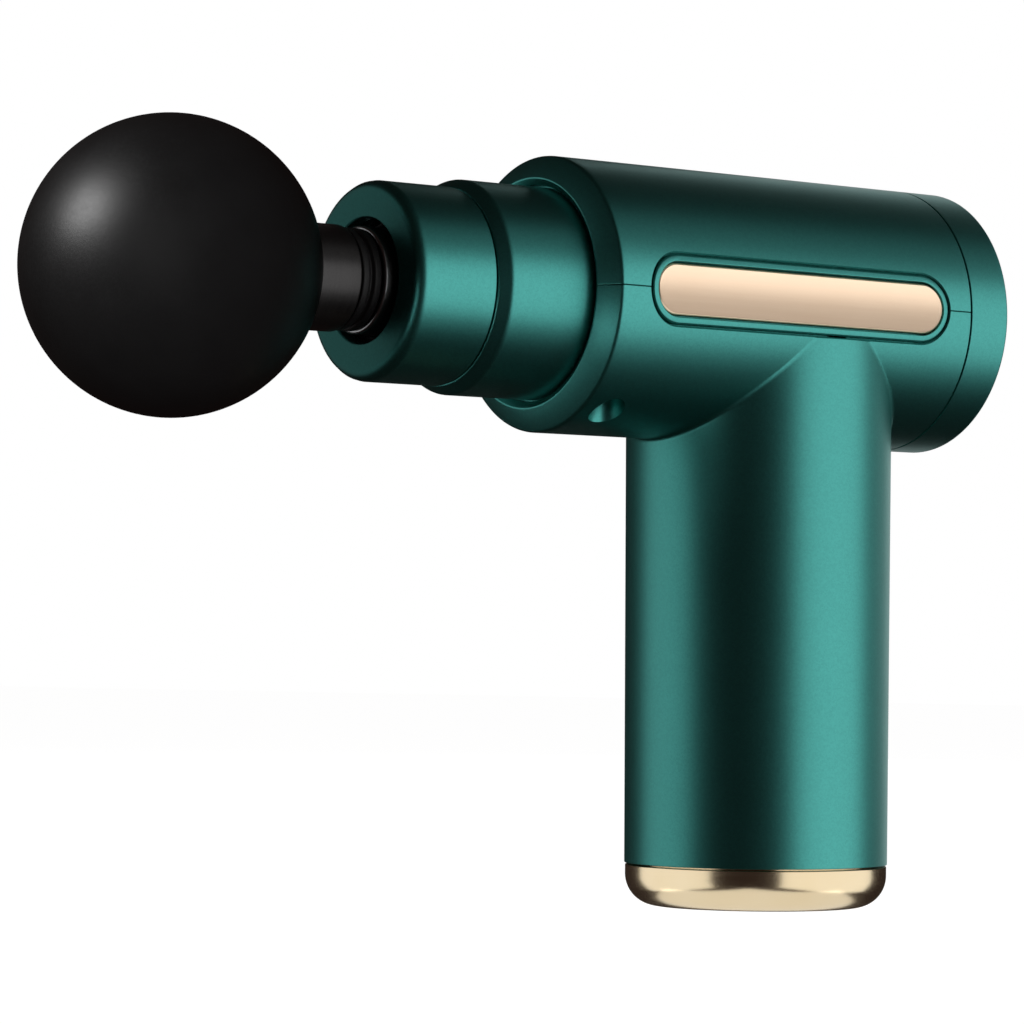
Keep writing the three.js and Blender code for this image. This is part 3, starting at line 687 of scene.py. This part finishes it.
cap = {"bore": 20.5 * mm, "seat": 18.5 * mm, "buttonHole": 9 * mm, "floorX": rearX - 1.2 * mm,
       "floor": 2 * mm, "seamEdge": 0.16 * mm, "rimEdge": 0.55 * mm, "seatEdge": 0.2 * mm}


def rearCap():
    frontFace, floorX = seamX + gap, cap["floorX"]
    onAxis("rearCap", [(frontFace, cap["bore"]), (frontFace, barrelRadius, cap["seamEdge"]),
                       (rearX, barrelRadius, cap["rimEdge"]), (rearX, cap["seat"], cap["seatEdge"]),
                       (floorX, cap["seat"]), (floorX, cap["buttonHole"]),
                       (floorX - cap["floor"], cap["buttonHole"]), (floorX - cap["floor"], cap["bore"])],
           "rear_cap")


step = {"front": -80 * mm, "bore": 12.9 * mm, "spigot": 14.3 * mm, "stepX": -67.2 * mm,
        "stepRadius": 16.26 * mm, "stepEdge": 0.25 * mm, "shoulderX": -65.2 * mm, "radius": 17.64 * mm,
        "shoulderEdge": 0.5 * mm, "flangeX": (frontX + 2.1 * mm, frontX + 3.4 * mm), "flange": 19.6 * mm,
        "grooveX": -64 * mm, "groove": 16.2 * mm, "guide": 10 * mm, "guideWall": 1.8 * mm}


def collar():
    face, back = step["flangeX"]
    onAxis("collar", [(step["front"], step["bore"]), (step["front"], step["spigot"]),
                      (step["stepX"], step["spigot"]), (step["stepX"], step["stepRadius"], step["stepEdge"]),
                      (step["shoulderX"], step["radius"], step["shoulderEdge"]), (face, step["radius"]),
                      (face, step["flange"]), (back, step["flange"]), (back, step["groove"]),
                      (step["grooveX"], step["groove"]), (step["grooveX"], step["spigot"]),
                      (back, step["spigot"]), (back, step["guide"]), (back - step["guideWall"], step["guide"]),
                      (back - step["guideWall"], step["bore"])], "collar")


nose = {"backX": -67.5 * mm, "stopX": -80.3 * mm, "radius": 16.26 * mm, "inner": 14.6 * mm,
        "bore": 10.2 * mm, "backEdge": 0.2 * mm, "frontEdge": 1.9 * mm, "boreEdge": 0.35 * mm}


def noseCap():
    onAxis("noseCap", [(nose["backX"], nose["inner"]), (nose["backX"], nose["radius"], nose["backEdge"]),
                       (noseFrontX, nose["radius"], nose["frontEdge"]),
                       (noseFrontX, nose["bore"], nose["boreEdge"]), (nose["stopX"], nose["bore"]),
                       (nose["stopX"], nose["inner"])], "nose_cap")


seal = {"front": -77.9 * mm, "lipX": -76.9 * mm, "back": -76.3 * mm, "outer": 12.6 * mm, "mouth": 9.6 * mm,
        "lip": 8.95 * mm, "edge": 0.2 * mm, "sides": 96}


def dustSeal():
    onAxis("dustSeal", [(seal["front"], seal["mouth"], seal["edge"]), (seal["front"], seal["outer"]),
                        (seal["back"], seal["outer"]), (seal["back"], seal["lip"]),
                        (seal["lipX"], seal["lip"], seal["edge"])], "dust_seal", sides=seal["sides"])


base = {"radius": 22.4 * mm, "footEdge": 5.4 * mm, "topEdge": 0.18 * mm, "top": handleFootZ - gap,
        "spigot": 20 * mm, "spigotTop": 11 * mm, "inner": 18.9 * mm, "well": 18.2 * mm, "wellTop": 6.3 * mm,
        "floor": 2.5 * mm, "sides": 192, "steps": 14}


def baseCap():
    profile = [(0, 0), (0, base["radius"], base["footEdge"]),
               (base["top"], base["radius"], base["topEdge"]), (base["top"], base["spigot"]),
               (base["spigotTop"], base["spigot"]), (base["spigotTop"], base["inner"]),
               (base["top"], base["inner"]), (base["wellTop"], base["well"]), (base["floor"], base["well"]),
               (base["floor"], 0)]
    dress(lathe("baseCap", profile, axis="z", sides=base["sides"], steps=base["steps"]), "base_cap")


panel = {"back": rearX - 0.9 * mm, "face": rearX - 0.2 * mm, "hole": 6.3 * mm, "holeEdge": 0.14 * mm,
         "radius": 18.2 * mm, "rimEdge": 0.2 * mm}
lens = {"names": ["led_lens_%d" % i for i in range(1, 6)], "hole": 1.0 * mm, "holeEnd": 60 * mm,
        "radius": 0.8 * mm, "back": 31 * mm, "dome": 0.1 * mm, "edge": 0.2 * mm}


def rearPanel():
    section = [(panel["back"], panel["hole"]), (panel["face"], panel["hole"], panel["holeEdge"]),
               (panel["face"], panel["radius"], panel["rimEdge"]), (panel["back"], panel["radius"])]
    face = lathe("rearPanel", section, centre=(0, 0, axisHeight), ring=True)
    for node in lens["names"]:
        centre = (0, *middle(node)[1:])
        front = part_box(node)[1][0]
        carve(face, rod(0, lens["holeEnd"], lens["hole"], centre=centre))
        profile = [(lens["back"], 0), (lens["back"], lens["radius"]),
                   (front - lens["dome"], lens["radius"], lens["edge"]), (front, 0)]
        dress(lathe("lens_" + node[-1], profile, centre=centre, sides=32), node)
    smooth(face, crisp["carved"])
    dress(weighted(face), "rear_panel")


button = {"stemEnd": 33.2 * mm, "stem": 2.5 * mm, "back": 34 * mm, "radius": 6 * mm, "edge": 0.5 * mm,
          "proud": 0.6 * mm, "sides": 96}
dish = [(0.5 * mm, 4.5 * mm), (0.3 * mm, 4.35 * mm), (0.3 * mm, 4.05 * mm), (0.48 * mm, 3.9 * mm),
        (0.35 * mm, 0)]          # (above the rear face, radius) of the button's ring groove and shallow dish


def powerButton():
    onAxis("powerButton", [(button["stemEnd"], 0), (button["stemEnd"], button["stem"]),
                           (button["back"], button["stem"]), (button["back"], button["radius"]),
                           (rearX + button["proud"], button["radius"], button["edge"])]
           + [(rearX + above, radius) for above, radius in dish],
           "power_button", ring=False, sides=button["sides"])


for turn in (rearCap, collar, noseCap, dustSeal, baseCap, rearPanel, powerButton):
    turn()
print("casing turned")

ball = {"radius": 23.7 * mm, "skin": 2.2 * mm, "socket": 8.9 * mm, "socketX": 20.6 * mm, "hole": 6.3 * mm,
        "outerRows": 72, "innerRows": 32, "sides": 144}


def arc(radius, start, end, rows):       # (x, radius) points of the ball's section
    angles = [start + (end - start) * i / rows for i in range(rows + 1)]
    return [(ballX + radius * math.cos(a), radius * math.sin(a)) for a in angles]


def massageBall():
    innerRadius = ball["radius"] - ball["skin"]
    outer = arc(ball["radius"], math.pi, math.asin(ball["socket"] / ball["radius"]), ball["outerRows"])
    inner = arc(innerRadius, math.asin(ball["hole"] / innerRadius), math.pi, ball["innerRows"])
    outer[0], inner[-1] = (outer[0][0], 0), (inner[-1][0], 0)
    seat = [(ballX + ball["socketX"], ball["socket"]), (ballX + ball["socketX"], ball["hole"])]
    onAxis("massageBall", outer + seat + inner, "massage_ball", ring=False, sides=ball["sides"])


stem = {"seatX": ballX + ball["socketX"] + gap, "plug": 4 * mm, "plugRadius": 6 * mm, "neck": 8.6 * mm,
        "neckEnd": -88.1 * mm, "neckEdge": 0.4 * mm, "radius": 5.8 * mm, "grooveX": (-80.9 * mm, -79.1 * mm),
        "groove": 4.7 * mm, "tip": -69 * mm, "tipEdge": 0.9 * mm, "core": 3 * mm, "coreEnd": -95 * mm,
        "sides": 128}


def headStem():
    start, seat, end, tip = stem["seatX"] - stem["plug"], stem["seatX"], stem["neckEnd"], stem["tip"]
    groove, radius = stem["grooveX"], stem["radius"]
    onAxis("headStem", [(start, 0), (start, stem["plugRadius"]), (seat, stem["plugRadius"]),
                        (seat, stem["neck"]), (end, stem["neck"], stem["neckEdge"]), (end, radius),
                        (groove[0], radius),
                        (groove[0], stem["groove"]), (groove[1], stem["groove"]), (groove[1], radius),
                        (tip, radius, stem["tipEdge"]), (tip, stem["core"]), (stem["coreEnd"], stem["core"]),
                        (stem["coreEnd"], 0)], "head_stem", ring=False, sides=stem["sides"])


buffer = {"centreX": -86 * mm, "half": 1.8 * mm, "crown": 0.5 * mm, "waist": 0.2 * mm, "inner": 6.2 * mm,
          "outer": 8.3 * mm, "waistRadius": 7.7 * mm, "edges": (0.3 * mm, 0.25 * mm, 0.2 * mm), "sides": 128}


def bufferRing():        # a band with a groove round its middle
    rim, inside, bottom = buffer["edges"]
    half = [(buffer["half"], buffer["outer"], rim), (buffer["crown"], buffer["outer"], inside),
            (buffer["waist"], buffer["waistRadius"], bottom)]
    profile = [(buffer["centreX"] - away, radius, cut) for away, radius, cut in half]
    profile += [(buffer["centreX"] + away, radius, cut) for away, radius, cut in reversed(half)]
    ends = [(buffer["centreX"] + side * buffer["half"], buffer["inner"]) for side in (-1, 1)]
    onAxis("bufferRing", [ends[0]] + profile + [ends[1]], "buffer_ring", sides=buffer["sides"])


grip = {"centreX": -80 * mm, "radius": 5.35 * mm, "halfLength": 0.6 * mm, "halfHeight": 0.5 * mm, "rows": 16,
        "sides": 64}


def gripRing():
    angles = [fullTurn * i / grip["rows"] for i in range(grip["rows"])]
    section = [(grip["centreX"] + grip["halfLength"] * math.cos(a),
                grip["radius"] + grip["halfHeight"] * math.sin(a)) for a in angles]
    onAxis("gripRing", section, "grip_ring", sides=grip["sides"])


tube = {"radius": 8.7 * mm, "bore": 6.1 * mm, "boreEdge": 0.3 * mm, "edge": 0.45 * mm, "end": -53.5 * mm,
        "wall": 2 * mm, "cavity": 7 * mm, "cavityX": -65 * mm, "stopX": -66.5 * mm, "boreEndX": -67 * mm}
fork = {"halfWidth": 6 * mm, "halfHeight": 7 * mm, "overlap": 1 * mm, "pastPin": 5 * mm, "limit": 8.5 * mm,
        "limitX": (-60 * mm, -20 * mm), "slot": 3.3 * mm, "slotBefore": 5.5 * mm, "reach": 10 * mm,
        "windowHalf": 3 * mm, "windowX": (2 * mm, -8 * mm), "pin": 1.8 * mm}
relief = {"x": (-64 * mm, tube["end"] - 3 * mm), "half": 2 * mm, "deep": 20 * mm}        # slot underneath


def plunger():
    front, end, wristX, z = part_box("plunger")[0][0], tube["end"], middle("wrist_pin")[0], axisHeight
    wall = end - tube["wall"]
    body = lathe("plunger", [(front, tube["bore"], tube["boreEdge"]), (front, tube["radius"], tube["edge"]),
                             (end, tube["radius"]), (end, 0), (wall, 0), (wall, tube["cavity"]),
                             (tube["cavityX"], tube["cavity"]), (tube["cavityX"], 0), (tube["stopX"], 0),
                             (tube["boreEndX"], tube["bore"])], centre=(0, 0, z), ring=True, sides=96)
    half, tall, reach = fork["halfWidth"], fork["halfHeight"], fork["reach"]
    arms = boxTool((end - fork["overlap"], -half, z - tall), (wristX + fork["pastPin"], half, z + tall))
    carve(arms, rod(*fork["limitX"], fork["limit"], centre=(0, 0, z), sides=96), "INTERSECT")
    carve(body, arms, "UNION")
    carve(body, boxTool((wristX - fork["slotBefore"], -reach, z - fork["slot"]),
                        (fork["limitX"][1], reach, z + fork["slot"])))
    carve(body, boxTool((end + fork["windowX"][0], -fork["windowHalf"], z - reach),
                        (wristX + fork["windowX"][1], fork["windowHalf"], z + reach)))
    carve(body, boxTool((relief["x"][0], -relief["half"], z - relief["deep"]),
                        (relief["x"][1], relief["half"], z)))
    carve(body, rod(z - reach, z + reach, fork["pin"], "z", (wristX, 0, 0)))
    smooth(body, crisp["carved"])
    dress(body, "plunger")


for turn in (massageBall, headStem, bufferRing, gripRing, plunger):
    turn()
print("head and plunger made")

screw = {"head": 2.6 * mm, "headTop": 2.0 * mm, "crown": 0.5 * mm, "headHeight": 1.8 * mm, "edge": 0.3 * mm,
         "thread": 1.25 * mm, "tip": 0.75 * mm, "taper": 0.6 * mm, "crossLong": 1.45 * mm,
         "crossWide": 0.3 * mm, "crossDeep": 0.9 * mm, "sides": 48}


def crossScrew(node):    # pan head that faces down, with a cross recess
    top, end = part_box(node)[0][2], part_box(node)[1][2]
    x, y, _ = middle(node)
    seat = top + screw["headHeight"]
    profile = [(top, 0), (top, screw["headTop"], screw["edge"]),
               (top + screw["crown"], screw["head"], screw["edge"]), (seat, screw["head"]),
               (seat, screw["thread"]), (end - screw["taper"], screw["thread"]), (end, screw["tip"]), (end, 0)]
    made = lathe("screw_" + node, profile, axis="z", centre=(x, y, 0), sides=screw["sides"])
    for wide, deep in ((screw["crossLong"], screw["crossWide"]), (screw["crossWide"], screw["crossLong"])):
        carve(made, boxTool((x - wide, y - deep, top - 1 * mm),
                            (x + wide, y + deep, top + screw["crossDeep"])))
    smooth(made, crisp["carved"])
    dress(made, node)


socket = {"outer": (9 * mm, 3.2 * mm), "inner": (8.3 * mm, 2.5 * mm), "back": 1 * mm, "past": 2 * mm,
          "tongueBack": 0.9 * mm, "tongueShort": 0.5 * mm, "tongueHalf": 3.3 * mm, "tongueThick": 0.35 * mm}


def chargingInlet():
    low, high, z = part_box("usb_port")[0][0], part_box("usb_port")[1][0], middle("usb_port")[2]
    port = oblongPlug(*socket["outer"], low, high, z)
    port.name = "chargingInlet"
    carve(port, oblongPlug(*socket["inner"], low + socket["back"], high + socket["past"], z))
    half, thick = socket["tongueHalf"], socket["tongueThick"]
    tongue = boxTool((low + socket["tongueBack"], -half, z - thick),
                     (high - socket["tongueShort"], half, z + thick))
    carve(port, tongue, "UNION")
    smooth(port, crisp["carved"])
    dress(port, "usb_port")


for node in shellScrews:
    crossScrew(node)
chargingInlet()

for node, thing in frame["nodes"].items():
    thing.data.materials.clear()
    thing.data.materials.append(finishes[slotOf[node]])
print("fittings made, CAD nodes dressed")

stage = {"width": 3.0, "depth": 6.0, "floor": 0.25, "floorRough": 0.9, "floorGloss": 0.1, "glow": 0.985,
         "dim": (0.017, 0.010, 0.009), "aimShare": 0.75}


def makeFloor():
    bm = bmesh.new()
    half = stage["width"]
    corners = [(-half, -half, 0), (half, -half, 0), (half, stage["depth"], 0), (-half, stage["depth"], 0)]
    bm.faces.new([bm.verts.new(c) for c in corners])
    floor = pieceFrom("floor", bm)
    f = Finish("paleFloor")
    f.set(Base_Color=tint((stage["floor"],) * 3), Roughness=stage["floorRough"],
          Specular_IOR_Level=stage["floorGloss"],
          Emission_Color=tint((1, 1, 1)), Emission_Strength=stage["glow"])         # as pale as the sweep behind
    floor.data.materials.append(f.material)
    floor.visible_glossy = floor.visible_diffuse = floor.visible_shadow = False


def makeWorld():         # a white sweep behind, in a dim room: the softboxes make the reflections
    world = bpy.data.worlds.new("studio")
    bpy.context.scene.world = world
    f = Finish("studio", world)
    seen = f.node("ShaderNodeLightPath", output="Is Camera Ray")
    f.set(Color=f.mix(seen, tint(stage["dim"]), tint((1, 1, 1))), Strength=1.0)


# where each softbox stands (azimuth from +X, elevation, distance), its size, glow and what it lights
lights = {
    "key": {"at": (-61, -2, 1.0), "size": (1.38, 1.0), "glow": 1.08, "lit": "casing"},
    "keySkirt": {"at": (-60, 6, 1.0), "size": (1.4, 2.4), "glow": 0.20, "lit": "casing"},
    "side": {"at": (145, 0, 1.0), "size": (1.0, 1.05), "glow": 0.74, "lit": "grip"},
    "noseSoft": {"at": (130, 4, 1.0), "size": (1.2, 1.2), "glow": 0.15, "lit": "nose"},
    "backKey": {"at": (33, 8, 1.1), "size": (0.6, 1.2), "glow": 0.75, "lit": "casing"},
    "backPlate": {"at": (48, 0, 1.1), "size": (1.3, 1.6), "glow": 0.9, "lit": "plate"},
    "sidePlate": {"at": (158, 2, 1.1), "size": (1.3, 1.4), "glow": 0.7, "lit": "rightPlate"},
    "rearFill": {"at": (4, 12, 1.1), "size": (0.7, 0.8), "glow": 0.38, "lit": "casing"},
    "mouthGlow": {"at": (191, -14, 0.34), "size": (0.05, 0.05), "glow": 0.047, "lit": "casing", "spread": 9,
                  "aim": (-0.05, -0.012, 0.1)},
    "footKey": {"at": (-57, 0, 1.0), "size": (2.4, 1.62), "glow": 0.92, "lit": "foot"},
    "footSide": {"at": (150, 0, 1.0), "size": (1.75, 1.62), "glow": 0.86, "lit": "foot"},
    "footBelow": {"at": (-90, -90, 0.4), "size": (0.84, 0.84), "glow": 0.74, "lit": "foot"},
    "plateHigh": {"at": (-59, 33, 1.0), "size": (1.9, 0.85), "glow": 1.3, "lit": "plate"},
    "plateLow": {"at": (-59, -13, 1.0), "size": (1.9, 0.9), "glow": 0.47, "lit": "plate"},
    "plateRim": {"at": (-59, -62, 0.8), "size": (1.6, 0.5), "glow": 1.0, "lit": "plate"},
    "headSoft": {"at": (228, 4, 1.0), "size": (0.8, 0.8), "glow": 3.7, "lit": "head", "matteOnly": True},
    "headGlow": {"at": (168, 29, 0.7), "size": (0.24, 0.24), "glow": 15, "lit": "head", "glossOnly": True},
}


def receivers():         # the nose, the ball, the base cap and the plates have softboxes of their own
    names = ("casing", "grip", "nose", "head", "foot", "plate", "rightPlate")
    groups = {name: bpy.data.collections.new(name) for name in names}
    for thing in bpy.context.scene.objects:
        if thing.type != "MESH":
            continue
        own = {"massageBall": "head", "baseCap": "foot"}.get(thing.name, "casing")
        own = "plate" if thing.name.startswith("accentPlate") else own
        groups[own].objects.link(thing)
        if thing.name == "accentPlate_right":
            groups["rightPlate"].objects.link(thing)
        if own == "casing":
            groups["nose" if thing.name == "noseCap" else "grip"].objects.link(thing)
    return groups


def makeLights():
    target = Vector((0, 0, axisHeight * stage["aimShare"]))
    groups = receivers()
    for name, row in lights.items():
        data = bpy.data.lights.new(name, "AREA")
        data.shape, data.size, data.size_y = "RECTANGLE", row["size"][0], row["size"][1]
        data.energy = row["glow"] * math.pi * data.size * data.size_y
        data.spread = math.radians(row.get("spread", 180))
        lamp = bpy.data.objects.new(name, data)
        azimuth, elevation = math.radians(row["at"][0]), math.radians(row["at"][1])
        way = Vector((math.cos(azimuth) * math.cos(elevation), math.sin(azimuth) * math.cos(elevation),
                      math.sin(elevation)))
        lamp.location = Vector(row.get("aim", target)) + way * row["at"][2]
        lamp.rotation_mode = "QUATERNION"
        lamp.rotation_quaternion = way.to_track_quat("Z", "Y")
        lamp.visible_glossy = not row.get("matteOnly", False)
        lamp.visible_diffuse = not row.get("glossOnly", False)
        lamp.visible_camera = False
        lamp.light_linking.receiver_collection = groups[row["lit"]]
        bpy.context.collection.objects.link(lamp)


cameraPlan = {"lens": 139.25, "sensor": 36, "clip": (0.01, 50), "place": (-0.43525, -0.52791, 0.04034),
              "yaw": 35.952, "pitch": 2.261, "roll": 0.538}


def makeCamera():
    data = bpy.data.cameras.new("camera")
    data.lens, data.sensor_width = cameraPlan["lens"], cameraPlan["sensor"]
    data.clip_start, data.clip_end = cameraPlan["clip"]
    camera = bpy.data.objects.new("camera", data)
    turn = (Matrix.Rotation(-math.radians(cameraPlan["yaw"]), 4, "Z")
            @ Matrix.Rotation(math.radians(90 + cameraPlan["pitch"]), 4, "X")
            @ Matrix.Rotation(math.radians(cameraPlan["roll"]), 4, "Z"))
    camera.matrix_world = Matrix.Translation(cameraPlan["place"]) @ turn
    bpy.context.collection.objects.link(camera)
    bpy.context.scene.camera = camera


makeFloor()
makeWorld()
makeLights()
makeCamera()
bpy.context.scene.view_settings.view_transform = "Standard"
print("stage set")
